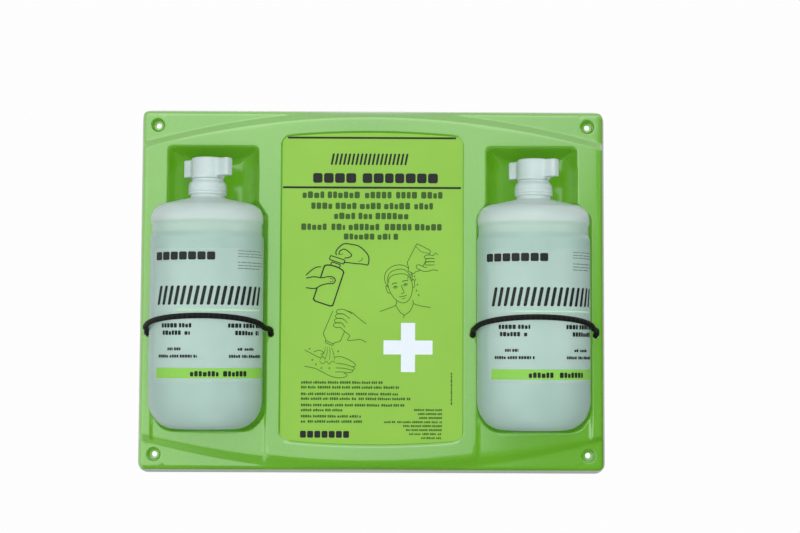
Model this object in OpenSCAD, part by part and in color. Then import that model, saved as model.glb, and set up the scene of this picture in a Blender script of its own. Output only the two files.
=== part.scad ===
// Wall-mounted eyewash station: a formed plastic panel that holds two oval
// squeeze bottles of saline in troughs, each behind an elastic cord.
// Frame: the wall is the plane y = 0, the front faces -Y and +Z is up. The origin
// is the centre of the four screw holes, on the wall. "Depth" is the distance from
// the wall, so a depth d lies at y = -d.

/* [Panel] */
// Width across the back rim
panel_w = 432; // [428:1:440]
// Height across the back rim
panel_h = 337; // [334:1:340]
// Corner radius of the back rim
panel_corner_r = 9.5; // [8:0.5:11]
// Inset of the front edge on each side, which lets the panel leave its mould
edge_draft = 5; // [4:0.5:5.5]
// Thickness of the formed sheet
sheet_t = 2.5; // [2:0.1:2.8]
// Depth of the four lower corner zones
corner_depth = 27.5; // [26:0.5:28]
// Depth of the raised barrel-shaped face
face_depth = 32; // [31:0.5:33]
// Height of the raised face's edge at the middle
arc_mid_z = 161; // [159:0.5:162]
// Height of the raised face's edge at its sides
arc_side_z = 137; // [135:0.5:139]

/* [Wall screws] */
// Distance between the screw holes across
screw_spacing_x = 395; // [392:1:396]
// Distance between the screw holes up
screw_spacing_z = 301; // [298:1:302]
// Diameter of each screw hole
screw_hole_d = 5.2; // [4.5:0.1:5.5]
// Diameter of the dimple round a screw hole
dimple_d = 13; // [12:0.5:14]
// Depth of the dimple below its corner zone
dimple_depth = 5; // [4:0.5:6]

/* [Sign] */
// Half the width of the sign recess
sign_half_w = 83.5; // [80:0.5:84]
// Height of the recess's upper corners
sign_top_z = 140.5; // [138:0.5:141]
// Height of the recess's lower corners
sign_bottom_z = -137.5; // [-139:0.5:-136]
// Rise of the recess's curved ends
sign_arch = 4.2; // [3:0.1:5]
// Depth of the recess below the face
sign_recess = 1.5; // [1.2:0.1:1.6]
// Thickness of the sign
sign_t = 0.5; // [0.4:0.1:0.6]

/* [Troughs] */
// Distance of each trough from the middle of the panel
trough_x = 148; // [147:0.5:149]
// Half the width of the trough round the bottle, at the bottle's middle
trough_a = 53.5; // [53.5:0.1:54]
// Half the depth of the trough's oval
trough_b = 38.3; // [38.3:0.1:38.6]
// Distance of the narrower neck pocket from the middle of the panel
pocket_x = 145.8; // [145:0.1:147]
// Half the width of the neck pocket
pocket_half_w = 41.4; // [40:0.2:42]
// Height of the neck pocket's upper edge
pocket_top_z = 130.5; // [129:0.5:132]
// Fall of the neck pocket's sloping ceiling for each unit of depth
pocket_slope = 0.41; // [0.35:0.01:0.42]
// Height where the ledge under the bottle leaves the trough's back
ledge_high_z = -124; // [-125:0.5:-124]
// Height where the ledge meets the shallow floor below it
ledge_low_z = -129.5; // [-131:0.5:-129.5]
// How far the shallow floor below the ledge lies behind the face
floor_step = 1; // [0.6:0.1:1.4]

/* [Bottles] */
// Width of the oval bottle
bottle_w = 102.2; // [100:0.2:102.2]
// Depth of the oval bottle, front to back
bottle_d = 73.4; // [70:0.2:73.4]
// Height of the bottle's base
bottle_base_z = -126.5; // [-126.5:0.5:-125]
// Height where the neck starts
neck_z = 81.5; // [81:0.5:82]
// Outside diameter of the neck
neck_d = 30.4; // [30:0.2:31]
// Thickness of the bottle's wall
bottle_wall = 1.2; // [1:0.1:1.4]
// Height of the saline's surface
fill_z = 51; // [45:1:52]
// How far each bottle sits to the left of its trough's middle
bottle_shift = 1.6; // [0:0.1:1.6]

/* [Closures] */
// Outside diameter of the closure collar
collar_d = 34.8; // [34:0.2:36]
// Diameter of the tab's round hub
tab_hub_d = 30; // [29:0.5:31]
// Height of the tab
tab_h = 19; // [18:0.5:19.5]
// Length across the tab's two wings
tab_span = 52; // [48:1:54]
// Thickness of a wing
tab_wing_t = 10; // [8:0.5:11]
// Turn of the left bottle's tab at rest, in degrees
left_tab_turn = 33; // [0:1:45]
// Turn of the right bottle's tab at rest, in degrees
right_tab_turn = 41; // [0:1:45]

/* [Cords] */
// Diameter of the elastic cord
cord_d = 5; // [4.5:0.1:5]
// Height of the holes that the cord goes through
cord_hole_z = -41; // [-46:0.5:-40]
// Height of the cord where it crosses the bottle's front
cord_front_z = -26; // [-30:0.5:-24]
// Distance of each cord hole from the trough's middle
cord_hole_x = 56; // [55.8:0.1:56.2]

/* [Hidden] */
$fn = 64;

LEFT = -1;
RIGHT = 1;

// Past the front of the panel, where cutters end
clear_depth = 80;
// Land between the raised face's side edge and the ends of its arcs
arc_end_inset = 5;
arc_side_x = panel_w / 2 - edge_draft - arc_end_inset;
arc_sagitta = arc_mid_z - arc_side_z;
arc_r = (arc_side_x * arc_side_x + arc_sagitta * arc_sagitta) / (2 * arc_sagitta);

// Sign recess
sign_corner_r = 9;
sign_gap = 1;
sign_arc_r = (sign_half_w * sign_half_w + sign_arch * sign_arch) / (2 * sign_arch);

// Trough and neck pocket: the back of the trough, the round pocket that meets the
// face at the pocket's edges, and the height where the two shapes run together
bottle_depth = 41.2;
pocket_step = 0.6;
trough_back = bottle_depth - trough_b + pocket_step;
pocket_reach = face_depth - trough_back;
pocket_r = (pocket_half_w * pocket_half_w + pocket_reach * pocket_reach) / (2 * pocket_reach);
pocket_corner_r = 6;
pocket_h = 120;
flare_top_z = 79;
flare_bottom_z = 67;
trough_low_z = -160;
// The trough's inner side draws in below here, first to draw_in[0], then to draw_in[1]
draw_in_z = [-108, -130];
draw_in = [4, 7];
// How far the neck pocket and the oval reach past the heights where they meet
pocket_below_flare = 20;
oval_above_flare = 5;
// Narrowing of a dimple towards its floor
dimple_taper = 2;
// How far a dimple's cutter passes the surface, and how far it spreads there
dimple_past = 0.1;
dimple_spread = 0.2;
// How far the hollow's cutter passes the wall plane
wall_past = 0.01;
trough_floor = face_depth - floor_step;

// Bottle profile: base corner, straight body, shallow band under the shoulder,
// shoulder arc and sloping top
half_w = bottle_w / 2;
half_d = bottle_d / 2;
neck_r = neck_d / 2;
corner_x = 23;
corner_y = 15;
corner_z = 27;
band_in = 1.5;
// The band from below up, each [height, share of band_in]
band_steps = [[40, 0], [48, 1], [58, 1], [61.5, 0.4]];
shoulder_z = 62.6;
shoulder_in = 0.5;
shoulder_r = 14;
shoulder_turn = 75;
neck_top_z = 94.4;
mouth_r = neck_r - 1.7;
loft_sides = 48;
// Gap between pieces that rest in one another
fit_gap = 0.1;

// Closure stack: collar, tear gap and tab
collar_low_z = 84.4;
waist_top_z = 98.7;
waist_r = 14.2;
collar_mouth_r = 11.5;
// The collar's outside from its foot up, each [in from the widest, up from the foot]
collar_profile = [
  [0.6, 0], [0, 0.8], [0, 2], [0.6, 2.6], [0, 3.4], [0, 8], [0.5, 9.6], [1.6, 11],
  [3, 12], [3, 12.6]
];
// Flow nozzle: its flange on the neck's rim, its plug in the neck, and its holes
flange_t = 1.5;
plug_h = 9;
plug_wall = 1.45;
// Gaps round the nozzle: under its flange, round the flange and round the plug
seat_gap = 0.05;
flange_in = 0.2;
plug_gap = 0.15;
nozzle_face_t = 1.5;
nozzle_ring_r = 6.5;
nozzle_hole_r = 1.5;
nozzle_middle_r = 2.5;
tab_low_z = 99;
tab_top_z = tab_low_z + tab_h;
wing_low_z = tab_low_z + 2.4;
wing_high_z = tab_top_z - 0.8;
tab_wall = 2.5;
tab_roof = 3;
wing_edge_in = 1.5;

// Print film round the bottle's straight front
film_t = 0.25;
film_gap = 0.15;
film_low_z = -84;
film_high_z = 34;
film_from_turn = 30;
film_to_turn = 178;
film_steps = 24;

// Cord: the stop behind the sheet, and the path round the bottle's front
cord_r = cord_d / 2;
cord_gap = 0.5;
cord_clear = 0.8;
cord_tail_depth = 15;
// The cord's way out of its hole, each [past the face, above the hole]
cord_end_steps = [[-1, 0], [2, 1], [5.5, 3.8]];
// Power of the sine that shapes the cord's climb to the front
cord_climb = 0.62;
stop_low_depth = 16;
stop_high_depth = 23;
stop_r = 3.4;
stop_gap = 0.02;
cord_sides = 10;
cord_steps = 16;

function arc_steps(n) = [for (i = [0:n]) i / n];
function bottle_x(side) = side * trough_x - bottle_shift;

// A shape drawn in the front view (x across, z up), from one depth to another
module front(near, far) {
  rotate([90, 0, 0]) translate([0, 0, near]) linear_extrude(far - near) children();
}

// A shape drawn in the side view (depth across, z up), from x0 to x1
module sideways(x0, x1) {
  translate([x1, 0, 0]) rotate([90, 0, -90]) linear_extrude(x1 - x0) children();
}

module rounded_rect(w, h, r) {
  square([w - 2 * r, h], center = true);
  square([w, h - 2 * r], center = true);
  for (sx = [-1, 1], sy = [-1, 1]) {
    translate([sx * (w / 2 - r), sy * (h / 2 - r)]) circle(r = r, $fn = 32);
  }
}

// The drafted block inside the panel's four edges, inset all round
module drafted_block(inset, depth) {
  w = panel_w - 2 * inset;
  h = panel_h - 2 * inset;
  shrink = 2 * edge_draft * depth / corner_depth;
  rotate([90, 0, 0])
    linear_extrude(depth, scale = [(w - shrink) / w, (h - shrink) / h], slices = 1)
      rounded_rect(w, h, panel_corner_r - inset);
}

// The barrel-shaped outline of the raised face
module raised_outline(inset) {
  offset_z = arc_mid_z - arc_r;
  intersection() {
    translate([0, offset_z]) circle(r = arc_r - inset, $fn = 240);
    translate([0, -offset_z]) circle(r = arc_r - inset, $fn = 240);
    square([panel_w, panel_h], center = true);
  }
}

// The panel's whole front form, filled to the wall, with each skin set in
module panel_form(inset) {
  drafted_block(inset, corner_depth - inset);
  intersection() {
    drafted_block(inset, face_depth - inset);
    front(0, face_depth - inset) raised_outline(inset);
  }
}

// The sign recess's outline: straight sides and gently arched ends
module sign_outline(grow) {
  w = sign_half_w + grow;
  r = sign_corner_r;
  intersection() {
    translate([0, sign_top_z + sign_arch - sign_arc_r]) circle(r = sign_arc_r + grow, $fn = 240);
    translate([0, sign_bottom_z - sign_arch + sign_arc_r]) circle(r = sign_arc_r + grow, $fn = 240);
    translate([0, (sign_top_z + sign_bottom_z) / 2])
      rounded_rect(2 * w, sign_top_z - sign_bottom_z + 2 * sign_arch + 2 * grow, r);
  }
}

module sign_cut(grow) {
  front(face_depth - sign_recess - grow, clear_depth) sign_outline(grow);
}

// The neck pocket: round at the back, square in the front view, sloping ceiling
module neck_pocket_cut(grow) {
  ceiling = pocket_top_z + grow;
  intersection() {
    front(trough_back - grow, clear_depth)
      translate([pocket_x, pocket_top_z - pocket_h / 2])
        rounded_rect(2 * (pocket_half_w + grow), pocket_h + 2 * grow, pocket_corner_r);
    translate([pocket_x, -(trough_back + pocket_r), 0])
      cylinder(r = pocket_r + grow, h = pocket_top_z + sheet_t);
    sideways(0, panel_w / 2)
      polygon([
        [0, flare_bottom_z - pocket_below_flare],
        [clear_depth, flare_bottom_z - pocket_below_flare],
        [clear_depth, ceiling + (clear_depth - face_depth) * pocket_slope],
        [0, ceiling - face_depth * pocket_slope]
      ]);
  }
}

// The oval trough's outline in the front view, which flares out below the neck
// pocket and draws in on its inner side near the bottom
module trough_outline(grow) {
  inner = trough_x - trough_a - grow;
  outer = trough_x + trough_a + grow;
  polygon([
    [inner, flare_bottom_z],
    [pocket_x - pocket_half_w - grow, flare_top_z + grow],
    [pocket_x + pocket_half_w + grow, flare_top_z + grow],
    [outer, flare_bottom_z],
    [outer, trough_low_z],
    [inner + draw_in[1], trough_low_z],
    [inner + draw_in[0], draw_in_z[1]],
    [inner, draw_in_z[0]]
  ]);
}

module oval_prism(a, b, z0, z1) {
  translate([0, 0, z0]) linear_extrude(z1 - z0) polygon(oval_points(a, b, loft_sides));
}

function oval_points(a, b, n) = [for (i = [0:n - 1]) [a * cos(i * 360 / n), b * sin(i * 360 / n)]];

module trough_cut_lower(grow) {
  intersection() {
    front(0, clear_depth) trough_outline(grow);
    translate([trough_x, -bottle_depth, 0])
      oval_prism(trough_a + grow, trough_b + grow, trough_low_z, flare_top_z + oval_above_flare);
    sideways(0, panel_w)
      polygon([
        [trough_back - grow, pocket_top_z],
        [clear_depth, pocket_top_z],
        [clear_depth, trough_low_z],
        [trough_floor - grow, trough_low_z],
        [trough_floor - grow, ledge_low_z - grow],
        [trough_back - grow, ledge_high_z - grow]
      ]);
  }
}

module trough_cut(grow) {
  neck_pocket_cut(grow);
  trough_cut_lower(grow);
}

module both_sides() {
  children();
  mirror([1, 0, 0]) children();
}

module at_screws() {
  for (sx = [-1, 1], sz = [-1, 1]) {
    translate([sx * screw_spacing_x / 2, 0, sz * screw_spacing_z / 2]) rotate([90, 0, 0]) children();
  }
}

// A conical dimple in a corner zone, with its outside set out by grow
module dimple(grow) {
  translate([0, 0, corner_depth - dimple_depth - grow])
    cylinder(
      r1 = dimple_d / 2 - dimple_taper + grow,
      r2 = dimple_d / 2 + grow + (grow == 0 ? dimple_spread : 0),
      h = dimple_depth + grow + (grow == 0 ? dimple_past : 0),
      $fn = 48
    );
}

// ---- panel and sign ----

module wall_panel() {
  color("yellowgreen") difference() {
    union() {
      difference() {
        panel_form(0);
        translate([0, wall_past, 0]) panel_form(sheet_t);
      }
      intersection() {
        panel_form(0);
        union() {
          both_sides() trough_cut(sheet_t);
          sign_cut(sheet_t);
          at_screws() dimple(sheet_t);
        }
      }
    }
    both_sides() trough_cut(0);
    sign_cut(0);
    at_screws() dimple(0);
    at_screws() cylinder(d = screw_hole_d, h = face_depth);
    for (side = [LEFT, RIGHT], away = [-1, 1]) {
      translate([side * trough_x + away * cord_hole_x, 0, cord_hole_z]) rotate([90, 0, 0])
        cylinder(r = cord_r + cord_gap, h = face_depth + 1);
    }
  }
}

module sign_sheet() {
  floor_depth = face_depth - sign_recess;
  color("greenyellow") front(floor_depth, floor_depth + sign_t) sign_outline(-sign_gap);
}

// ---- bottles ----

// Rings of the bottle's outside, each [z, half width, half depth], set in by inset
function body_half_w(inset) = half_w - inset;
function body_half_d(inset) = half_d - inset;
function base_rings(inset) = [
  for (t = [0:15:90]) [
    bottle_base_z + inset + corner_z * (1 - cos(t)),
    body_half_w(inset) - corner_x * (1 - sin(t)),
    body_half_d(inset) - corner_y * (1 - sin(t))
  ]
];
function band_rings(inset) = [
  for (p = band_steps) [
    p[0], body_half_w(inset) - band_in * p[1], body_half_d(inset) - band_in * p[1]
  ]
];
function shoulder_rings(inset) = [
  for (t = [0:15:shoulder_turn]) [
    shoulder_z + (shoulder_r - inset) * sin(t),
    half_w - shoulder_in - shoulder_r + (shoulder_r - inset) * cos(t),
    half_d - shoulder_in - shoulder_r + (shoulder_r - inset) * cos(t)
  ]
];
// The sloping top runs from the shoulder to the neck and turns from oval to round
function shoulder_edge(inset) = shoulder_rings(inset)[shoulder_turn / 15];
function top_rings(inset) = [
  for (f = [0.5, 1]) [
    shoulder_edge(inset)[0] + (neck_z - inset - shoulder_edge(inset)[0]) * f,
    shoulder_edge(inset)[1] + (neck_r - inset - shoulder_edge(inset)[1]) * f,
    shoulder_edge(inset)[2] + (neck_r - inset - shoulder_edge(inset)[2]) * f
  ]
];
function bottle_rings(inset) = concat(
  base_rings(inset), band_rings(inset), shoulder_rings(inset), top_rings(inset)
);

// A closed solid through oval rings that share one upright axis
module loft(rings) {
  n = loft_sides;
  last = len(rings) - 1;
  points = [
    for (r = rings, i = [0:n - 1]) [r[1] * cos(i * 360 / n), r[2] * sin(i * 360 / n), r[0]]
  ];
  sides = [
    for (k = [0:last - 1], i = [0:n - 1]) [
      k * n + i, (k + 1) * n + i, (k + 1) * n + (i + 1) % n, k * n + (i + 1) % n
    ]
  ];
  base = [for (i = [0:n - 1]) i];
  top = [for (i = [n - 1:-1:0]) last * n + i];
  polyhedron(points, concat(sides, [base, top]), convexity = 4);
}

module at_bottle(side) {
  translate([bottle_x(side), -bottle_depth, 0]) children();
}

module bottle(side) {
  inner = bottle_rings(bottle_wall);
  color("lightcyan") at_bottle(side) difference() {
    loft(concat(bottle_rings(0), [[neck_top_z, neck_r, neck_r]]));
    loft(concat(
      [for (r = inner) if (r[1] > mouth_r) r],
      [[neck_z, mouth_r, mouth_r], [neck_top_z + 1, mouth_r, mouth_r]]
    ));
  }
}

// The saline fills the bottle's inside up to its surface
module saline(side) {
  gap = bottle_wall + fit_gap;
  below = [for (r = concat(base_rings(gap), band_rings(gap))) if (r[0] < fill_z) r];
  edge = below[len(below) - 1];
  color("azure") at_bottle(side) loft(concat(below, [[fill_z, edge[1], edge[2]]]));
}

// A clear printed film round the front of the straight body; a turn of 0 is the
// bottle's left edge and 90 is its front
module print_film(side) {
  inner = [for (f = arc_steps(film_steps)) film_point(film_gap, f)];
  outer = [for (f = arc_steps(film_steps)) film_point(film_gap + film_t, 1 - f)];
  color("palegreen") at_bottle(side) translate([0, 0, film_low_z])
    linear_extrude(film_high_z - film_low_z) polygon(concat(inner, outer));
}

function film_point(grow, f) =
  let (turn = film_from_turn + (film_to_turn - film_from_turn) * f)
  [-(half_w + grow) * cos(turn), -(half_d + grow) * sin(turn)];

// ---- closures ----

// The collar snaps over the neck: two ridges at its foot, a rounded top, and the
// narrow waist where the tab tears off
module closure_collar(side) {
  r = collar_d / 2;
  color("mintcream") at_bottle(side) rotate_extrude()
    polygon(concat(
      [for (p = collar_profile) [r - p[0], collar_low_z + p[1]]],
      [
        [waist_r, waist_top_z],
        [collar_mouth_r, waist_top_z],
        [collar_mouth_r, neck_top_z + flange_t + fit_gap],
        [neck_r + fit_gap, neck_top_z + flange_t + fit_gap],
        [neck_r + fit_gap, collar_low_z]
      ]
    ));
}

// The flow nozzle drops into the neck on its flange and spreads the stream
module flow_nozzle(side) {
  color("aliceblue") at_bottle(side) difference() {
    union() {
      translate([0, 0, neck_top_z + seat_gap]) cylinder(r = neck_r - flange_in, h = flange_t);
      translate([0, 0, neck_top_z - plug_h]) cylinder(r = mouth_r - plug_gap, h = plug_h + fit_gap);
    }
    translate([0, 0, neck_top_z - plug_h - 1])
      cylinder(r = mouth_r - plug_gap - plug_wall, h = plug_h + 1 - nozzle_face_t);
    for (turn = [0:60:300]) {
      rotate([0, 0, turn]) translate([nozzle_ring_r, 0, 0]) nozzle_hole(nozzle_hole_r);
    }
    nozzle_hole(nozzle_middle_r);
  }
}

module nozzle_hole(r) {
  translate([0, 0, neck_top_z - 2 * nozzle_face_t]) cylinder(r = r, h = 4 * nozzle_face_t, $fn = 24);
}

// The T-shaped tab that is twisted off: a hollow round hub with two flat wings
module twist_tab(side, turn) {
  wing_h = wing_high_z - wing_low_z;
  color("mintcream") at_bottle(side) rotate([0, 0, -turn]) difference() {
    union() {
      translate([0, 0, tab_low_z]) cylinder(d = tab_hub_d, h = tab_h);
      translate([0, 0, wing_low_z]) linear_extrude(wing_h)
        rounded_rect(tab_span, tab_wing_t, tab_wing_t / 2 - wing_edge_in);
    }
    translate([0, 0, tab_low_z - 1]) cylinder(d = tab_hub_d - 2 * tab_wall, h = tab_h + 1 - tab_roof);
  }
}

// ---- cords ----

// The cord's path in the bottle's own frame. It leaves the hole straight out, turns
// round the oval front, and climbs from the holes to its highest point in front.
cord_a = half_w + cord_r + cord_clear;
cord_b = half_d + cord_r + cord_clear;
function cord_rise(turn) = (cord_front_z - cord_hole_z) * pow(sin(turn), cord_climb);
function cord_wrap_point(turn) = [
  -cord_a * cos(turn), -bottle_depth - cord_b * sin(turn), cord_hole_z + cord_rise(turn)
];
function cord_end(x) = concat(
  [[x, -cord_tail_depth, cord_hole_z]],
  [for (p = cord_end_steps) [x, -(face_depth + p[0]), cord_hole_z + p[1]]]
);
function reversed(list) = [for (i = [len(list) - 1:-1:0]) list[i]];
function cord_path(side) = concat(
  cord_end(side * trough_x - cord_hole_x - bottle_x(side)),
  [for (i = [1:cord_steps - 1]) cord_wrap_point(i * 180 / cord_steps)],
  reversed(cord_end(side * trough_x + cord_hole_x - bottle_x(side)))
);

function unit(v) = v / norm(v);
function ring_direction(path, i) =
  unit(path[min(i + 1, len(path) - 1)] - path[max(i - 1, 0)]);
function ring_points(path, i, r, n) =
  let (
    along = ring_direction(path, i),
    out = unit(cross(along, [0, 0, 1])),
    up = cross(out, along)
  )
  [for (k = [0:n - 1]) path[i] + r * cos(k * 360 / n) * out + r * sin(k * 360 / n) * up];

// A round tube swept along a path
module tube(path, r, n) {
  last = len(path) - 1;
  points = [for (i = [0:last]) each ring_points(path, i, r, n)];
  sides = [
    for (i = [0:last - 1], k = [0:n - 1]) [
      i * n + k, (i + 1) * n + k, (i + 1) * n + (k + 1) % n, i * n + (k + 1) % n
    ]
  ];
  start = [for (k = [0:n - 1]) k];
  end = [for (k = [n - 1:-1:0]) last * n + k];
  polyhedron(points, concat(sides, [start, end]), convexity = 6);
}

module elastic_cord(side) {
  color("black") translate([bottle_x(side), 0, 0]) tube(cord_path(side), cord_r, cord_sides);
}

// A crimped sleeve on the cord's end, which can't pass back through its hole;
// away is +1 for the stop on the bottle's right and -1 for its left
module cord_stop(side, away) {
  color("silver")
    translate([side * trough_x + away * cord_hole_x, -stop_low_depth, cord_hole_z])
      rotate([90, 0, 0])
        difference() {
          cylinder(r = stop_r, h = stop_high_depth - stop_low_depth);
          translate([0, 0, -1]) cylinder(r = cord_r + stop_gap, h = stop_high_depth);
        }
}

wall_panel();
sign_sheet();
bottle(LEFT);  // left_bottle
saline(LEFT);  // left_saline
print_film(LEFT);  // left_print_film
closure_collar(LEFT);  // left_closure_collar
flow_nozzle(LEFT);  // left_flow_nozzle
twist_tab(LEFT, left_tab_turn);  // left_twist_tab
elastic_cord(LEFT);  // left_elastic_cord
cord_stop(LEFT, 1);  // left_cord_stop_inner
cord_stop(LEFT, -1);  // left_cord_stop_outer
bottle(RIGHT);  // right_bottle
saline(RIGHT);  // right_saline
print_film(RIGHT);  // right_print_film
closure_collar(RIGHT);  // right_closure_collar
flow_nozzle(RIGHT);  // right_flow_nozzle
twist_tab(RIGHT, right_tab_turn);  // right_twist_tab
elastic_cord(RIGHT);  // right_elastic_cord
cord_stop(RIGHT, -1);  // right_cord_stop_inner
cord_stop(RIGHT, 1);  // right_cord_stop_outer
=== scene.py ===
# Looks of the wall-mounted eyewash station. Lengths in the mesh code are in
# millimetres and become metres when a mesh is made.
import math
import random

import bmesh
import bpy
import numpy as np
from mathutils import Matrix, Vector


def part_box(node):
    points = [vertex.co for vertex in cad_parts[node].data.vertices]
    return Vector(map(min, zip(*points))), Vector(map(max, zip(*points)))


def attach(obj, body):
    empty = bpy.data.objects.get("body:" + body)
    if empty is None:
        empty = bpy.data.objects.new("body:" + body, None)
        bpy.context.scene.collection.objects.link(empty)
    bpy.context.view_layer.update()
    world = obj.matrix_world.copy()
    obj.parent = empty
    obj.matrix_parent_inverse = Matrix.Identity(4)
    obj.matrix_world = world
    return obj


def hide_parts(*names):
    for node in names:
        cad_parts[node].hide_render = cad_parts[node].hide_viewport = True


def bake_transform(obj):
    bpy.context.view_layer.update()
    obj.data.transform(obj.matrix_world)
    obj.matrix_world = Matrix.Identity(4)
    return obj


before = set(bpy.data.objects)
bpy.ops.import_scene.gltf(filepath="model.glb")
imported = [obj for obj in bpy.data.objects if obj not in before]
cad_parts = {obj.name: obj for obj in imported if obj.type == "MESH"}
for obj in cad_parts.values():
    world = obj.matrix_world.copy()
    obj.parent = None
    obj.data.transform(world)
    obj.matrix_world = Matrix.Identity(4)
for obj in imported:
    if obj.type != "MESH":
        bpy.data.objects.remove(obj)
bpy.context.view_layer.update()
MM = 0.001

SIDES = (("left", -1), ("right", 1))


def box_mm(node):
    """A CAD node's lowest and highest corners, in millimetres."""
    low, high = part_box(node)
    return Vector(low) / MM, Vector(high) / MM


# ---------------------------------------------------------------- camera

CAMERA_AT = (0.0192, -1.3973, -0.0638)
CAMERA_YAW, CAMERA_PITCH, CAMERA_ROLL = (math.radians(a) for a in (0.26, 3.55, 0.25))


def make_camera():
    data = bpy.data.cameras.new("camera")
    data.sensor_width = 36.0
    data.lens = 67.5
    data.clip_start, data.clip_end = 0.05, 50
    cam = bpy.data.objects.new("camera", data)
    bpy.context.scene.collection.objects.link(cam)
    cos_p = math.cos(CAMERA_PITCH)
    forward = Vector((math.sin(CAMERA_YAW) * cos_p, math.cos(CAMERA_YAW) * cos_p, math.sin(CAMERA_PITCH)))
    right = Vector((math.cos(CAMERA_YAW), -math.sin(CAMERA_YAW), 0))
    up = right.cross(forward)
    c, s = math.cos(CAMERA_ROLL), math.sin(CAMERA_ROLL)
    axes = Matrix((c * right + s * up, c * up - s * right, -forward)).transposed()
    cam.matrix_world = Matrix.Translation(CAMERA_AT) @ axes.to_4x4()
    bpy.context.scene.camera = cam


make_camera()


# ---------------------------------------------------------------- helpers


def smin(a, b, k):
    h = np.maximum(k - np.abs(a - b), 0) / k
    return np.minimum(a, b) - h * h * k / 4


def smax(a, b, k):
    return -smin(-a, -b, k)


def smooth01(a, b, t):
    t = np.clip((t - a) / (b - a), 0, 1)
    return t * t * (3 - 2 * t)


def new_mesh(name, verts, faces, material=None, smooth=True):
    """A mesh object from points in millimetres."""
    mesh = bpy.data.meshes.new(name)
    mesh.from_pydata([(x * MM, y * MM, z * MM) for x, y, z in verts], [], faces)
    mesh.validate()
    mesh.polygons.foreach_set("use_smooth", [smooth] * len(mesh.polygons))
    mesh.update()
    obj = bpy.data.objects.new(name, mesh)
    bpy.context.scene.collection.objects.link(obj)
    if material:
        mesh.materials.append(material)
    return obj


def loft(rings):
    """Vertices and faces of a closed tube through rings of equal length."""
    n = len(rings[0])
    verts = [p for ring in rings for p in ring]
    faces = []
    for k in range(len(rings) - 1):
        for i in range(n):
            j = (i + 1) % n
            faces.append((k * n + i, k * n + j, (k + 1) * n + j, (k + 1) * n + i))
    faces.append(tuple(range(n - 1, -1, -1)))
    faces.append(tuple(range((len(rings) - 1) * n, len(rings) * n)))
    return verts, faces


# ---------------------------------------------------------------- materials


class Tree:
    """A small builder for a node tree."""

    def __init__(self, tree):
        self.tree = tree

    def add(self, kind, **values):
        node = self.tree.nodes.new(kind)
        for key, value in values.items():
            if hasattr(node, key):
                setattr(node, key, value)
            else:
                node.inputs[key.replace("_", " ")].default_value = value
        return node

    def link(self, a, b):
        self.tree.links.new(a, b)

    def fill(self, node, sockets, values):
        for socket, value in zip(sockets, values):
            if isinstance(value, (int, float)):
                node.inputs[socket].default_value = value
            else:
                self.link(value, node.inputs[socket])

    def maths(self, operation, *values):
        """A Math node. Each value is a number or another node's output."""
        node = self.add("ShaderNodeMath", operation=operation)
        self.fill(node, range(3), values)
        return node.outputs[0]

    def mix(self, factor, a, b):
        """Goes from a to b with the factor. Each is a number or another node's output."""
        node = self.add("ShaderNodeMix", data_type="FLOAT")
        self.fill(node, (0, 2, 3), (factor, a, b))
        return node.outputs[0]

    def span(self, source, low, high, a=0.3, b=0.7):
        m = self.add("ShaderNodeMapRange", From_Min=a, From_Max=b, To_Min=low, To_Max=high)
        self.link(source, m.inputs["Value"])
        return m.outputs["Result"]


class Nodes(Tree):
    """A builder for one node material."""

    def __init__(self, name):
        self.mat = bpy.data.materials.new(name)
        self.mat.use_nodes = True
        super().__init__(self.mat.node_tree)
        self.bsdf = self.tree.nodes["Principled BSDF"]

    def set(self, **values):
        for key, value in values.items():
            self.bsdf.inputs[key.replace("_", " ")].default_value = value

    def noise(self, scale, detail=3.0, rough=0.5):
        if not hasattr(self, "coord"):
            self.coord = self.add("ShaderNodeTexCoord")
        n = self.add("ShaderNodeTexNoise", Scale=scale, Detail=detail, Roughness=rough)
        self.link(self.coord.outputs["Object"], n.inputs["Vector"])
        return n.outputs["Fac"]

    def ramp(self, source, stops):
        r = self.add("ShaderNodeValToRGB")
        el = r.color_ramp.elements
        while len(el) < len(stops):
            el.new(0.5)
        for e, (pos, colour) in zip(el, stops):
            e.position = pos
            e.color = colour
        self.link(source, r.inputs["Fac"])
        return r.outputs["Color"]

    def bump(self, source, strength, distance, normal=None):
        b = self.add("ShaderNodeBump", Strength=strength, Distance=distance)
        self.link(source, b.inputs["Height"])
        if normal is not None:
            self.link(normal, b.inputs["Normal"])
        return b.outputs["Normal"]

    def tones(self, source, dark, light, a=0.3, b=0.7):
        """Base colour between two tones."""
        stops = [(a, (*dark, 1)), (b, (*light, 1))]
        self.link(self.ramp(source, stops), self.bsdf.inputs["Base Color"])

    def gloss(self, source, low, high, a=0.3, b=0.7):
        """Roughness between two values."""
        self.link(self.span(source, low, high, a, b), self.bsdf.inputs["Roughness"])

    def grain(self, source, strength, distance, normal=None):
        """Relief of the surface, over another normal where one is given."""
        self.link(self.bump(source, strength, distance, normal), self.bsdf.inputs["Normal"])


def panel_plastic():
    n = Nodes("panel_plastic")
    big = n.noise(9.0, 2.0)
    fine = n.noise(900.0, 3.0, 0.6)
    n.tones(big, (0.092, 0.310, 0.0065), (0.106, 0.340, 0.0085))
    n.gloss(fine, 0.26, 0.36)
    wave = n.bump(n.noise(22.0, 1.0), 0.25, 0.0006)
    n.grain(fine, 0.10, 0.0001, wave)
    n.set(IOR=1.5, Coat_Weight=1.0, Coat_Roughness=0.13, Coat_IOR=1.9)
    return n.mat


def sign_face():
    n = Nodes("sign_face")
    big = n.noise(14.0, 2.0)
    fine = n.noise(1400.0, 2.0, 0.6)
    n.tones(big, (0.180, 0.385, 0.030), (0.198, 0.410, 0.036))
    n.gloss(fine, 0.40, 0.52)
    n.grain(fine, 0.12, 0.00006)
    n.set(IOR=1.48)
    return n.mat


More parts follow.
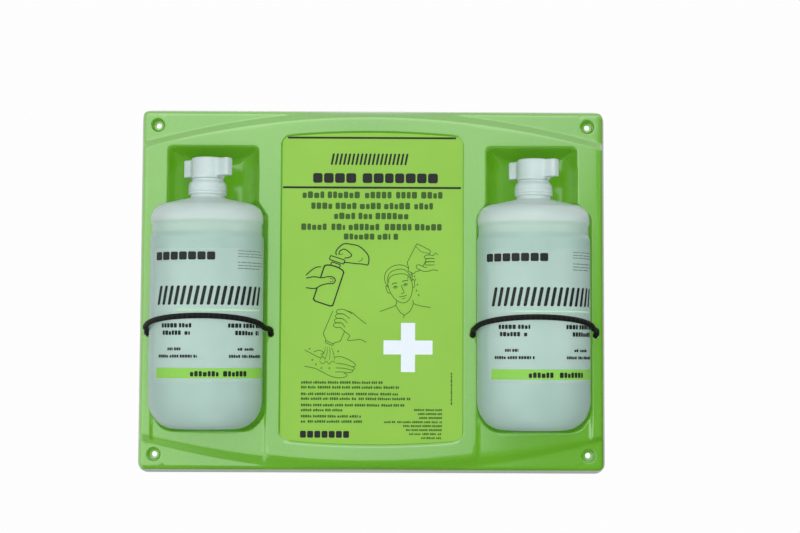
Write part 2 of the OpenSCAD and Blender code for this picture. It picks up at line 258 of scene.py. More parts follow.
def ink(name, dark, light):
    n = Nodes(name)
    speck = n.noise(700.0, 2.0)
    n.tones(speck, dark, light, 0.25, 0.75)
    n.gloss(speck, 0.40, 0.53)
    n.bsdf.inputs["Specular IOR Level"].default_value = 0.2
    return n.mat


def bottle_plastic():
    n = Nodes("bottle_plastic")
    cloud = n.noise(26.0, 3.0)
    fine = n.noise(650.0, 3.0, 0.6)
    colour = n.ramp(cloud, [(0.3, (0.60, 0.68, 0.665, 1)), (0.7, (0.64, 0.72, 0.705, 1))])
    # painted light: the wall is painted greener below the saline line, standing for the green trough seen
    # through the saline, and whiter up the shoulder, standing for light from above
    split = n.add("ShaderNodeSeparateXYZ")
    n.link(n.coord.outputs["Object"], split.inputs["Vector"])
    height = n.span(split.outputs["Z"], 0.0, 1.0, 0.0495, 0.0610)
    painted_light_tint = n.ramp(height, [(0.0, (0.76, 0.86, 0.81, 1)), (0.12, (0.83, 0.915, 0.84, 1)),
                           (0.8, (0.84, 0.93, 0.86, 1)), (1.0, (1.0, 1.0, 1.0, 1))])
    mixed = n.add("ShaderNodeMix", data_type="RGBA", blend_type="MULTIPLY")
    mixed.inputs[0].default_value = 1.0
    n.link(colour, mixed.inputs[6])
    n.link(painted_light_tint, mixed.inputs[7])
    n.link(mixed.outputs[2], n.bsdf.inputs["Base Color"])
    n.gloss(fine, 0.30, 0.40)
    soft = n.bump(n.noise(55.0, 1.0), 0.20, 0.0005)
    n.grain(fine, 0.08, 0.0001, soft)
    n.set(IOR=1.4, Transmission_Weight=0.6)
    return n.mat


def saline_fluid():
    n = Nodes("saline")
    cloud = n.noise(18.0, 2.0)
    # painted light: the clear saline is given a green-blue colour that stands for the green trough seen
    # through it
    n.tones(cloud, (0.26, 0.47, 0.41), (0.30, 0.51, 0.45))
    n.gloss(cloud, 0.04, 0.08)
    n.set(IOR=1.33, Transmission_Weight=0.35)
    return n.mat


def closure_plastic():
    n = Nodes("closure_plastic")
    cloud = n.noise(60.0, 3.0)
    fine = n.noise(900.0, 3.0, 0.6)
    n.tones(cloud, (0.41, 0.50, 0.485), (0.46, 0.55, 0.535))
    n.gloss(fine, 0.30, 0.42)
    n.grain(fine, 0.10, 0.0001)
    n.set(IOR=1.45, Subsurface_Weight=0.25, Subsurface_Scale=0.004)
    return n.mat


def elastic_cord():
    n = Nodes("elastic_cord")
    uv = n.add("ShaderNodeTexCoord")
    split = n.add("ShaderNodeSeparateXYZ")
    n.link(uv.outputs["UV"], split.inputs["Vector"])
    # eight strands each way around the cord
    along = n.maths("MULTIPLY", split.outputs["Y"], 2 * math.pi)
    waves = [n.maths("SINE", n.maths("MULTIPLY_ADD", split.outputs["X"], sign * 8 * 2 * math.pi, along))
             for sign in (1, -1)]
    height = n.span(n.maths("MULTIPLY", *waves), 0.0, 1.0, -1.0, 1.0)
    n.tones(height, (0.003, 0.003, 0.003), (0.011, 0.011, 0.011), 0.2, 0.8)
    n.gloss(height, 0.75, 0.5, 0.0, 1.0)
    n.grain(height, 0.8, 0.0004)
    n.bsdf.inputs["Specular IOR Level"].default_value = 0.15
    return n.mat


def stop_metal():
    n = Nodes("stop_metal")
    fine = n.noise(500.0, 4.0, 0.6)
    n.tones(fine, (0.52, 0.53, 0.55), (0.68, 0.69, 0.70))
    n.gloss(fine, 0.25, 0.45)
    n.grain(fine, 0.2, 0.0001)
    n.set(Metallic=1.0)
    return n.mat


def clear_film():
    n = Nodes("clear_film")
    fine = n.noise(300.0, 2.0)
    n.tones(fine, (0.80, 0.90, 0.87), (0.86, 0.94, 0.92))
    n.gloss(fine, 0.22, 0.32)
    n.set(IOR=1.45, Alpha=0.05)
    return n.mat


def stage_paint(name, value):
    n = Nodes(name)
    wide = n.noise(2.0, 2.0)
    n.tones(wide, (value * 0.99,) * 3, (value,) * 3)
    n.set(Roughness=0.9)
    n.bsdf.inputs["Specular IOR Level"].default_value = 0.1
    return n.mat


MAT = {
    "panel": panel_plastic(),
    "sign": sign_face(),
    "bottle": bottle_plastic(),
    "saline": saline_fluid(),
    "closure": closure_plastic(),
    "cord": elastic_cord(),
    "stop": stop_metal(),
    "film": clear_film(),
    "ink_grey": ink("ink_grey", (0.17, 0.23, 0.215), (0.21, 0.28, 0.26)),
    "ink_pale": ink("ink_pale", (0.40, 0.66, 0.42), (0.44, 0.70, 0.46)),
    "ink": ink("ink_black", (0.008, 0.010, 0.009), (0.016, 0.019, 0.017)),
    "ink_soft": ink("ink_dark_green", (0.030, 0.075, 0.012), (0.040, 0.095, 0.018)),
    "ink_green": ink("ink_green", (0.185, 0.435, 0.060), (0.205, 0.470, 0.075)),
    "ink_white": ink("ink_white", (0.57, 0.62, 0.67), (0.60, 0.66, 0.71)),
}


# ---------------------------------------------------------------- wall panel

PANEL_LOW, PANEL_HIGH = box_mm("wall_panel")
HALF_W = (PANEL_HIGH.x - PANEL_LOW.x) / 2
HALF_H = (PANEL_HIGH.z - PANEL_LOW.z) / 2
FACE = -PANEL_LOW.y
CORNER_FACE = FACE - 4.5
RIM_R = 9.5
WALL_SLOPE = 5.5
EDGE_R = 4.0
SHEET = 2.5
SIGN_W, SIGN_TOP, SIGN_BOTTOM, SIGN_ARCH, SIGN_R = 83.5, 140.5, -137.5, 4.2, 9.0
SIGN_FLOOR = FACE - 1.5
TROUGH_X, TROUGH_A, TROUGH_B, AXIS_DEPTH = 148.0, 53.5, 38.3, 41.2
POCKET_X, POCKET_HALF, POCKET_TOP, POCKET_SLOPE = 145.8, 41.4, 130.5, 0.41
POCKET_BACK = 3.5
POCKET_R = (POCKET_HALF ** 2 + (FACE - POCKET_BACK) ** 2) / (2 * (FACE - POCKET_BACK))
LEDGE_LOW, LEDGE_RATE, FLOOR_STEP = -129.5, 5.0, 1.0
FOOT_FLAT, FOOT_W, FOOT_H = 29.4, 23, 27
FLARE_Z, FLARE_RISE, FLARE_CAP, FLARE_RATE = 67, 12.0, 84, 2.4
SCREW_X, SCREW_Z, SCREW_R = 197.5, 150.5, 2.6
CORD_HALF = 56
CORD_HOLE_X, CORD_HOLE_Z, CORD_HOLE_R = (TROUGH_X - CORD_HALF, TROUGH_X + CORD_HALF), -41.0, 3.0
TROUGH_IN, TROUGH_OUT = 96.07, 199.93
POCKET_IN, POCKET_OUT = POCKET_X - POCKET_HALF, POCKET_X + POCKET_HALF


def foot_line(x, top):
    return 163.7 - x * x / 1508 if top else 165.0 - x * x / 1557


def edge_line(x, top):
    return 158.5 - x * x / 1508 if top else 156.4 - x * x / 1814


def panel_depth(x, z):
    """Depth of the panel's front surface from the wall."""
    ax, az = np.abs(x), np.abs(z)
    qx, qz = ax - (HALF_W - RIM_R), az - (HALF_H - RIM_R)
    inset = RIM_R - (np.hypot(np.maximum(qx, 0), np.maximum(qz, 0)) + np.minimum(np.maximum(qx, qz), 0))
    inset = np.maximum(inset, 0)
    foot = np.where(z > 0, foot_line(ax, True), foot_line(ax, False))
    edge = np.where(z > 0, edge_line(ax, True), edge_line(ax, False))
    slope = CORNER_FACE + (FACE - CORNER_FACE) * (foot - az) / (foot - edge)
    top = smin(smax(slope, CORNER_FACE, 1.1), FACE, 1.3)
    # side wall and its rounded edge
    turn = math.atan(WALL_SLOPE)
    reach = EDGE_R * math.tan(turn / 2)
    s2 = top / WALL_SLOPE + reach
    s1 = top / WALL_SLOPE - reach * math.cos(turn)
    arc = top - EDGE_R + np.sqrt(np.maximum(EDGE_R ** 2 - (s2 - inset) ** 2, 0))
    outer = np.where(inset < s1, WALL_SLOPE * inset, np.where(inset < s2, arc, top))
    # oval trough, ledge and shallow floor under the bottle, flare below the neck pocket
    dx = ax - TROUGH_X
    oval = AXIS_DEPTH - TROUGH_B * np.sqrt(np.maximum(1 - (dx / TROUGH_A) ** 2, 0))
    low = FACE - FLOOR_STEP
    corner = np.clip((np.abs(dx) - FOOT_FLAT) / FOOT_W, 0, 0.96)
    lift = FOOT_H * (1 - np.sqrt(1 - corner ** 2))
    ledge = smin(low, low - (z - LEDGE_LOW - lift) * LEDGE_RATE, 3.0)
    flare_in = FLARE_Z + (ax - TROUGH_IN) * FLARE_RISE / (POCKET_IN - TROUGH_IN)
    flare_out = FLARE_Z + (TROUGH_OUT - ax) * FLARE_RISE / (TROUGH_OUT - POCKET_OUT)
    flare = FACE + (z - np.minimum(np.minimum(flare_in, flare_out), FLARE_CAP)) * FLARE_RATE
    lower = smax(smax(oval, ledge, 5.0), flare, 5.0)
    dp = np.clip(ax - POCKET_X, -POCKET_R + 0.5, POCKET_R - 0.5)
    round_back = POCKET_BACK + POCKET_R - np.sqrt(POCKET_R ** 2 - dp ** 2)
    ceiling = FACE - (POCKET_TOP - z) / POCKET_SLOPE
    k = 3.0 + 11.0 * smooth01(20, 31, (round_back + ceiling) / 2)
    pocket = smax(round_back, ceiling, k) + np.maximum(0, 60 - z) * 2
    cut = smin(lower, pocket, 4.0)
    depth = smin(outer, cut, 4.0)
    # sign recess
    arch = SIGN_ARCH * (1 - (np.minimum(ax, SIGN_W) / SIGN_W) ** 2)
    sx = ax - (SIGN_W - SIGN_R)
    sz = np.maximum(z - (SIGN_TOP + arch - SIGN_R), SIGN_BOTTOM - arch + SIGN_R - z)
    out = np.hypot(np.maximum(sx, 0), np.maximum(sz, 0)) + np.minimum(np.maximum(sx, sz), 0) - SIGN_R
    depth = smin(depth, SIGN_FLOOR + np.maximum(0, out + 0.35) * 3.5, 0.7)
    # screw dimples
    r = np.hypot(ax - SCREW_X, az - SCREW_Z)
    dimple = CORNER_FACE - 5 + np.maximum(0, r - 4.2) * 2.3
    return smin(depth, dimple, 1.0)


def back_depth(x, z):
    """Depth of the sheet's back: the front surface set in by the sheet's thickness."""
    best = panel_depth(x, z) - SHEET
    for reach in (0.8, 1.5, 2.0, 2.3, 2.45, 2.5):
        fall = math.sqrt(max(SHEET ** 2 - reach ** 2, 0))
        for k in range(16):
            a = k * math.pi / 8
            best = np.minimum(best, panel_depth(x + reach * math.cos(a), z + reach * math.sin(a)) - fall)
    return np.maximum(best, 0)


def spread(a, b, n):
    return [a + (b - a) * i / n for i in range(n)]


RIM_STEPS = (0, 1.0, 2.0, 2.9, 3.6, 4.2, 4.7, 5.2, 5.7, 6.3, 7.0, 7.8, 8.7)


def between(keys, marks):
    """Places at the keys' fractions of the way from each mark to the next."""
    k = np.array([q[0] for q in keys])
    f = np.array([q[1] for q in keys])[:, None]
    return (1 - f) * marks[k] + f * marks[k + 1]


def column_keys():
    """Columns of the right half, each a pair of key number and fraction."""
    counts = (14, 15, 2, 24, 30, 21, 6)
    keys = [(k, i / n) for k, n in enumerate(counts) for i in range(n)]
    return keys + [(7, 1 - s / 9.0) for s in reversed(RIM_STEPS)]


def column_x(keys, z):
    """Where the columns lie at each height: they follow the troughs' edges."""
    low = smooth01(63, 83, z) * (1 - smooth01(134, 160, z))
    inner = TROUGH_IN + (POCKET_IN - TROUGH_IN) * low
    inner = inner + 6.0 * smooth01(-106, -150, z)
    outer = TROUGH_OUT + (POCKET_OUT - TROUGH_OUT) * low
    full = np.ones_like(z)
    marks = [0 * full, 79 * full, 88 * full, inner - 6.9, inner + 8, outer - 8, outer + 4.6, 207 * full,
             216 * full]
    return between(keys, np.stack(marks))


def row_keys():
    far = RIM_STEPS + (10.2, 12.2, 14.2, 16.2, 18.2, 20.2, 22.2, 24.2, 26.2)
    bottom = [(0, s / 27.8) for s in far]
    counts = ((1, 4), (2, 11), (3, 7), (4, 8), (5, 13))
    keys = bottom + [(k, i / n) for k, n in counts for i in range(n)]
    mid = spread(-105, -44.6, 12) + spread(-44.6, -37.4, 6) + spread(-37.4, 62, 20)
    keys += [(6, (z + 105) / 167) for z in mid]
    counts = ((7, 28), (8, 9), (9, 16), (10, 5), (11, 13), (12, 4))
    keys += [(k, i / n) for k, n in counts for i in range(n)]
    return keys + [(13, 1 - s / 27.8) for s in reversed(far)]


def row_z(keys, x):
    """Where the rows lie at each distance from the middle: they follow the arcs."""
    full = np.ones_like(x)
    arch = SIGN_ARCH * (1 - (np.minimum(x, SIGN_W) / SIGN_W) ** 2)
    over = smooth01(86, 102, x)
    top_foot, top_edge = foot_line(x, True), edge_line(x, True)
    low_foot, low_edge = -foot_line(x, False), -edge_line(x, False)
    p_top = (SIGN_TOP + arch) * (1 - over) + np.minimum(POCKET_TOP, top_edge - 4) * over
    ledge = np.maximum(LEDGE_LOW - 0.8, low_edge + 0.5)
    p_low = (SIGN_BOTTOM - arch) * (1 - over) + ledge * over
    marks = np.stack([
        -HALF_H * full, low_foot - 3, low_foot, low_edge, p_low, p_low + 5, -105 * full, 62 * full,
        97 * full, p_top - 9, p_top + 2, top_edge - 0.8, top_foot + 0.8, top_foot + 3, HALF_H * full
    ])
    return between(keys, marks)


def panel_grid():
    """The x and z of each grid point, as arrays [column, row]."""
    cols, rows = column_keys(), row_keys()
    x = np.linspace(0, HALF_W, len(cols))[:, None] * np.ones((1, len(rows)))
    for _ in range(5):
        z = np.stack([np.diagonal(row_z(rows, column)) for column in x])
        x = np.stack([np.diagonal(column_x(cols, row)) for row in z.T], 1)
    cx, cz = HALF_W - RIM_R, HALF_H - RIM_R
    a, b = (x - cx) / RIM_R, (np.abs(z) - cz) / RIM_R
    inside = (a > 0) & (b > 0)
    ar = a * np.sqrt(np.maximum(1 - b * b / 2, 0))
    br = b * np.sqrt(np.maximum(1 - a * a / 2, 0))
    x = np.where(inside, cx + ar * RIM_R, x)
    z = np.where(inside, np.sign(z) * (cz + br * RIM_R), z)
    x = np.concatenate([-x[:0:-1], x])
    z = np.concatenate([z[:0:-1], z])
    return x, z


def make_panel():
    gx, gz = panel_grid()
    nx, nz = gx.shape
    index = np.arange(nx * nz).reshape(nx, nz)
    xs, zs = list(gx.ravel()), list(gz.ravel())
    keep = np.ones((nx - 1, nz - 1), bool)
    quads, holes = [], []
    rings = (8.4, 7.6, 7.0, 6.6, 6.2, 5.7, 5.1, 4.6, 4.2, 3.5, 2.9)
    spots = [(sx * SCREW_X, sz * SCREW_Z, SCREW_R, rings, 9.6) for sx in (-1, 1) for sz in (-1, 1)]
    spots += [(sx * hx, CORD_HOLE_Z, CORD_HOLE_R, (3.5, 3.2), 3.6) for sx in (-1, 1) for hx in CORD_HOLE_X]
    for cx, cz, r, rings, reach in spots:
        jc = int(np.argmin(np.abs(gz[np.argmin(np.abs(gx[:, nz // 2] - cx))] - cz)))
        ic = int(np.argmin(np.abs(gx[:, jc] - cx)))
        i0 = int(np.max(np.nonzero(gx[:, jc] <= cx - reach)[0]))
        i1 = int(np.min(np.nonzero(gx[:, jc] >= cx + reach)[0]))
        j0 = int(np.max(np.nonzero(gz[ic] <= cz - reach)[0]))
        j1 = int(np.min(np.nonzero(gz[ic] >= cz + reach)[0]))
        keep[i0:i1, j0:j1] = False
        loop = [index[i, j0] for i in range(i0, i1)] + [index[i1, j] for j in range(j0, j1)]
        loop += [index[i, j1] for i in range(i1, i0, -1)] + [index[i0, j] for j in range(j1, j0, -1)]
        angles = [math.atan2(zs[v] - cz, xs[v] - cx) for v in loop]
        last = loop
        for ring in rings + (r,):
            start = len(xs)
            for a in angles:
                xs.append(cx + ring * math.cos(a))
                zs.append(cz + ring * math.sin(a))
            now = list(range(start, start + len(loop)))
            for k in range(len(loop)):
                m = (k + 1) % len(loop)
                quads.append((last[k], last[m], now[m], now[k]))
            last = now
        holes.append(last)
    for i in range(nx - 1):
        for j in range(nz - 1):
            if keep[i, j]:
                quads.append((index[i, j], index[i + 1, j], index[i + 1, j + 1], index[i, j + 1]))
    xs, zs = np.array(xs), np.array(zs)
    front = panel_depth(xs, zs)
    back = np.minimum(back_depth(xs, zs), np.maximum(front - 0.4, 0))
    for ring in holes:
        front[ring] -= 0.25
    rim = np.zeros(len(xs), bool)
    rim[index[0]] = rim[index[-1]] = rim[index[:, 0]] = rim[index[:, -1]] = True
    front[rim] = 0
    back[rim] = 0
    used = np.zeros(len(xs), bool)
    used[np.array(quads).ravel()] = True
    number = -np.ones(len(xs), int)
    number[used] = np.arange(used.sum())
    behind = number.copy()
    own = used & ~rim
    behind[own] = used.sum() + np.arange(own.sum())
    verts = [(x, -d, z) for x, d, z in zip(xs[used], front[used], zs[used])]
    verts += [(x, -d, z) for x, d, z in zip(xs[own], back[own], zs[own])]
    faces = [tuple(int(number[v]) for v in q) for q in quads]
    faces += [tuple(int(behind[v]) for v in reversed(q)) for q in quads]
    for ring in holes:
        for k in range(len(ring)):
            m = (k + 1) % len(ring)
            a, b = ring[k], ring[m]
            faces.append((int(number[b]), int(behind[b]), int(behind[a]), int(number[a])))
    panel = new_mesh("panel", verts, faces, MAT["panel"])
    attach(panel, "root")
    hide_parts("wall_panel")
    return panel


make_panel()


# ---------------------------------------------------------------- shapes


def closed_mesh(name, verts, faces, material, smooth=True):
    """A mesh of closed shells, with every face turned outwards."""
    obj = new_mesh(name, verts, faces, material, smooth)
    work = bmesh.new()
    work.from_mesh(obj.data)
    bmesh.ops.recalc_face_normals(work, faces=work.faces)
    work.to_mesh(obj.data)
    work.free()
    return obj


def rounded(points, radius, steps=4, closed=True):
    """A flat outline with its corners rounded."""
    out = []
    n = len(points)
    for i, p in enumerate(points):
        p = Vector(p)
        if not closed and i in (0, n - 1):
            out.append(tuple(p))
            continue
        a, b = Vector(points[i - 1]) - p, Vector(points[(i + 1) % n]) - p
        reach = min(radius, a.length * 0.45, b.length * 0.45)
        a, b = p + a.normalized() * reach, p + b.normalized() * reach
        for k in range(steps + 1):
            t = k / steps
            out.append(tuple(a * (1 - t) ** 2 + p * (2 * t * (1 - t)) + b * t ** 2))
    return out


def lathe(profile, turns, place):
    """A ring-shaped solid: place(radius, height, angle) puts each profile point."""
    n = len(profile)
    verts = [place(r, h, 2 * math.pi * k / turns) for k in range(turns) for r, h in profile]
    faces = []
    for k in range(turns):
        m = (k + 1) % turns
        for i in range(n):
            j = (i + 1) % n
            faces.append((k * n + i, m * n + i, m * n + j, k * n + j))
    return verts, faces


def curve(points, step=0.6, closed=False):
    """Points along a smooth curve through the given points."""
    pts = [np.array(p, float) for p in points]
    n = len(pts)
    out = []
    for i in range(n if closed else n - 1):
        p1, p2 = pts[i], pts[(i + 1) % n]
        p0 = pts[i - 1] if closed or i > 0 else 2 * p1 - p2
        p3 = pts[(i + 2) % n] if closed or i + 2 < n else 2 * p2 - p1
        count = max(2, int(np.linalg.norm(p2 - p1) / step))
        for k in range(count):
            t = k / count
            out.append(0.5 * (2 * p1 + (p2 - p0) * t + (2 * p0 - 5 * p1 + 4 * p2 - p3) * t * t
                              + (3 * p1 - p0 - 3 * p2 + p3) * t ** 3))
    if not closed:
        out.append(pts[-1])
    return out


def inside(p, shape):
    """Whether a flat point lies within a closed outline."""
    hit = False
    for i, (x1, z1) in enumerate(shape):
        x0, z0 = shape[i - 1]
        if (z0 > p[1]) != (z1 > p[1]) and p[0] < x0 + (p[1] - z0) * (x1 - x0) / (z1 - z0):
            hit = not hit
    return hit


class Marks:
    """Thin raised marks of one colour on a surface: place(u, z, out) puts a point."""

    def __init__(self, place, thick=0.1):
        self.place, self.thick = place, thick
        self.verts, self.faces = [], []

    def columns(self, cols):
        """Joined columns, each (u low, z low, u high, z high)."""
        b = len(self.verts)
        for ul, zl, uh, zh in cols:
            for u, z in ((ul, zl), (uh, zh)):
                self.verts.append(self.place(u, z, 0))
                self.verts.append(self.place(u, z, self.thick))
        for k in range(len(cols) - 1):
            p, q = b + 4 * k, b + 4 * k + 4
            self.faces += [(p + 1, q + 1, q + 3, p + 3), (p + 2, q + 2, q, p), (p, q, q + 1, p + 1),
                           (p + 3, q + 3, q + 2, p + 2)]
        last = b + 4 * (len(cols) - 1)
        self.faces += [(b, b + 1, b + 3, b + 2), (last + 2, last + 3, last + 1, last)]

    def bar(self, u0, u1, z0, z1, lean=0.0, corner=0.0):
        """A slab, slanted by lean and with rounded corners."""
        r = min(corner, (u1 - u0) / 2, (z1 - z0) / 2)
        us = [u0 + r * (1 - math.cos(math.pi * k / 8)) for k in range(5)] if r else [u0]
        inner = max(1, int((u1 - u0 - 2 * r) / 1.6))
        us += [u0 + r + (u1 - u0 - 2 * r) * k / inner for k in range(1, inner)]
        us += [u1 - r * (1 - math.cos(math.pi * k / 8)) for k in range(4, -1, -1)] if r else [u1]
        cols = []
        for u in us:
            e = max(r - (u - u0), r - (u1 - u), 0)
            cut = r - math.sqrt(max(r * r - e * e, 0))
            low, high = z0 + cut, z1 - cut - 1e-4
            cols.append((u + lean * (low - z0), low, u + lean * (high - z0), high))
        self.columns(cols)

    def stroke(self, points, width, closed=False, taper=0.0, under=()):
        """A pen line through the points, left out where the shapes in under cover it."""
        pts = curve(points, 0.5, closed)
        n = len(pts)
        cols = []
        for i, p in enumerate(pts):
            a = pts[(i - 1) % n] if closed else pts[max(i - 1, 0)]
            b = pts[(i + 1) % n] if closed else pts[min(i + 1, n - 1)]
            t = (b - a) / max(np.linalg.norm(b - a), 1e-6)
            w = width / 2
            if taper and not closed:
                w *= 1 - taper + taper * math.sin(math.pi * i / (n - 1))
            cols.append((p[0] + t[1] * w, p[1] - t[0] * w, p[0] - t[1] * w, p[1] + t[0] * w))
        if closed:
            cols.append(cols[0])
            pts.append(pts[0])
        run = []
        for p, col in zip(pts, cols):
            if any(inside(p, shape) for shape in under):
                if len(run) > 1:
                    self.columns(run)
                run = []
            else:
                run.append(col)
        if len(run) > 1:
            self.columns(run)

    def line(self, u0, u1, z0, z1, seed, letters=True):
        """A greeked line: words of plain blocks, which spell nothing."""
        rng = random.Random(seed)
        size = z1 - z0
        u = u0
        while u < u1 - size * 0.4:
            end = min(u1, u + size * rng.choice((2.1, 3.2, 4.1, 5.0)))
            if u1 - end < size * 1.4:
                end = u1
            if letters:
                while u < end - size * 0.3:
                    w = min(size * rng.uniform(0.55, 0.8), end - u)
                    self.bar(u, u + w, z0, z1 - rng.choice((0, 0, 0.18)) * size, 0, size * 0.2)
                    u += w + size * 0.16
            else:
                self.bar(u, end, z0 + size * 0.15, z1 - size * 0.15, 0, size * 0.25)
            u = end + size * 0.5

    def strokes(self, u0, u1, z0, z1):
        """A row of equal slanted strokes, a plain stand-in for large lettering."""
        count = round((u1 - u0) / (z1 - z0) / 0.36)
        pitch = (u1 - u0) / count
        for k in range(count):
            u = u0 + k * pitch
            self.bar(u, u + pitch * 0.5, z0, z1, 0.2, pitch * 0.2)

    def blocks(self, u0, u1, z0, z1, count, gap, r):
        """A row of equal blocks, a plain stand-in for one bold word."""
        pitch = (u1 - u0 + gap) / count
        for k in range(count):
            self.bar(u0 + k * pitch, u0 + (k + 1) * pitch - gap, z0, z1, 0, r)

    def make(self, name, material):
        return closed_mesh(name, self.verts, self.faces, material, False)


# ---------------------------------------------------------------- bottles

BODY_A, BODY_B = 51.1, 36.7
BASE_Z, NECK_Z, NECK_R, MOUTH_R, NECK_TOP = -126.5, 81.5, 15.2, 13.5, 94.4
SHOULDER_Z = 62.6
BOTTLE_SHIFT = 1.6
BOTTLE_WALL = 1.2
LIQUID_Z = 51.0


def bottle_x(side):
    return side * TROUGH_X - BOTTLE_SHIFT


def bottle_rings(inset, top=NECK_TOP):
    """The bottle's profile as (z, half width, half depth), set in from the outside."""
    rings = []
    for k in range(25):
        t = math.radians(90 * k / 24)
        rings.append((BASE_Z + inset + FOOT_H * (1 - math.cos(t)),
                      BODY_A - inset - FOOT_W * (1 - math.sin(t)),
                      BODY_B - inset - 15 * (1 - math.sin(t))))
    for z in list(np.linspace(-96, 42, 26)) + list(np.linspace(43.5, 62, 27)):
        back = smooth01(55.5, 60.5, z)
        pull = 1.5 * smooth01(44, 49.5, z) * (1 - back) + 0.5 * back
        rings.append((z, BODY_A - inset - pull, BODY_B - inset - pull))
    arc = 14.0 - inset
    for k in range(1, 21):
        t = math.radians(75 * k / 20)
        out = arc * math.cos(t) - 14.5
        rings.append((SHOULDER_Z + arc * math.sin(t), BODY_A + out, BODY_B + out))
    z0, a0, b0 = rings[-1]
    z1, r1 = NECK_Z - inset, NECK_R - inset
    for f in np.linspace(0.1, 0.94, 11):
        rings.append((z0 + (z1 - z0) * f, a0 + (r1 - a0) * f, b0 + (r1 - b0) * f))
    z2, a2, b2 = rings[-1]
    for t in np.linspace(0.2, 1, 5):
        old, mid, new = (1 - t) ** 2, 2 * t * (1 - t), t * t
        rings.append((old * z2 + mid * z1 + new * (z1 + 1.6), old * a2 + (mid + new) * r1,
                      old * b2 + (mid + new) * r1))
    rings += [(z, r1, r1) for z in np.linspace(NECK_Z + 3.5, NECK_TOP - 0.4, 4)]
    return [r for r in rings if r[0] < top]


def bottle_angles():
    seam = [-0.026, -0.013, 0, 0.013, 0.026]
    half = [k * math.pi / 52 for k in range(1, 52)]
    return seam + half + [math.pi + s for s in seam] + [math.pi + h for h in half]


def oval_ring(cx, ring, angles, seam=0.0):
    z, a, b = ring
    points = []
    for t in angles:
        near = abs(math.sin(t)) / 0.013
        grow = seam * max(0, 1 - near / 2)
        points.append((cx + (a + grow) * math.cos(t), -AXIS_DEPTH + (b + grow) * math.sin(t), z))
    return points


def base_rings(inset):
    """The pushed-up underside, from its middle out to the foot."""
    low = BASE_Z + inset
    a, b = BODY_A - inset - 23, BODY_B - inset - 15
    return [(low + 2.6 * (1 - smooth01(0.35, 0.93, f)), a * f, b * f)
            for f in (0.02, 0.2, 0.35, 0.5, 0.62, 0.72, 0.8, 0.87, 0.93, 0.97)]


def make_bottle(name, side):
    cx, angles = bottle_x(side), bottle_angles()
    body = name + "_bottle_body"
    outside = [oval_ring(cx, r, angles, 0.22) for r in base_rings(0) + bottle_rings(0)]
    lip = [oval_ring(cx, r, angles) for r in
           ((NECK_TOP - 0.1, NECK_R - 0.05, NECK_R - 0.05), (NECK_TOP, NECK_R - 0.4, NECK_R - 0.4),
            (NECK_TOP, MOUTH_R + 0.4, MOUTH_R + 0.4), (NECK_TOP - 0.4, MOUTH_R, MOUTH_R))]
    inner = base_rings(BOTTLE_WALL) + bottle_rings(BOTTLE_WALL)
    inner = [(z, max(a, MOUTH_R) if z > 70 else a, max(b, MOUTH_R) if z > 70 else b) for z, a, b in inner]
    inside = [oval_ring(cx, r, angles) for r in reversed(inner)]
    verts, faces = loft(outside + lip + inside)
    bottle = closed_mesh(name + "_bottle_shell", verts, faces, MAT["bottle"])
    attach(bottle, body)
    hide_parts(name + "_bottle")
    gap = BOTTLE_WALL + 0.12
    rings = base_rings(gap) + bottle_rings(gap, LIQUID_Z - 0.9)
    z, a, b = rings[-1]
    rings += [(LIQUID_Z + 0.3, a, b), (LIQUID_Z + 0.25, a - 0.5, b - 0.5),
              (LIQUID_Z - 0.05, a - 1.3, b - 1.3),
              (LIQUID_Z - 0.2, a - 2.6, b - 2.6), (LIQUID_Z - 0.2, a * 0.6, b * 0.6),
              (LIQUID_Z - 0.2, a * 0.03, b * 0.03)]
    verts, faces = loft([oval_ring(cx, r, angles) for r in rings])
    saline = closed_mesh(name + "_saline_fill", verts, faces, MAT["saline"])
    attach(saline, body)
    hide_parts(name + "_saline")


# ---------------------------------------------------------------- print on the bottles

FILM_A, FILM_B = BODY_A + 0.15, BODY_B + 0.15
TURN = np.linspace(-math.pi / 2, math.pi / 2, 721)
ARC = np.concatenate([[0], np.cumsum(np.hypot(FILM_A * np.diff(np.sin(TURN)),
                                              FILM_B * np.diff(np.cos(TURN))))])
ARC = ARC - ARC[-1] / 2


def film_place(side, out0):
    """Puts (arc length from the front, height, distance out) on the bottle's print film."""
    cx = bottle_x(side)

    def place(s, z, out):
        t = float(np.interp(s, ARC, TURN))
        nx, ny = math.sin(t) / FILM_A, math.cos(t) / FILM_B
        n = math.hypot(nx, ny)
        d = out0 + out
        return cx + FILM_A * math.sin(t) + d * nx / n, -AXIS_DEPTH - FILM_B * math.cos(t) - d * ny / n, z

    return place


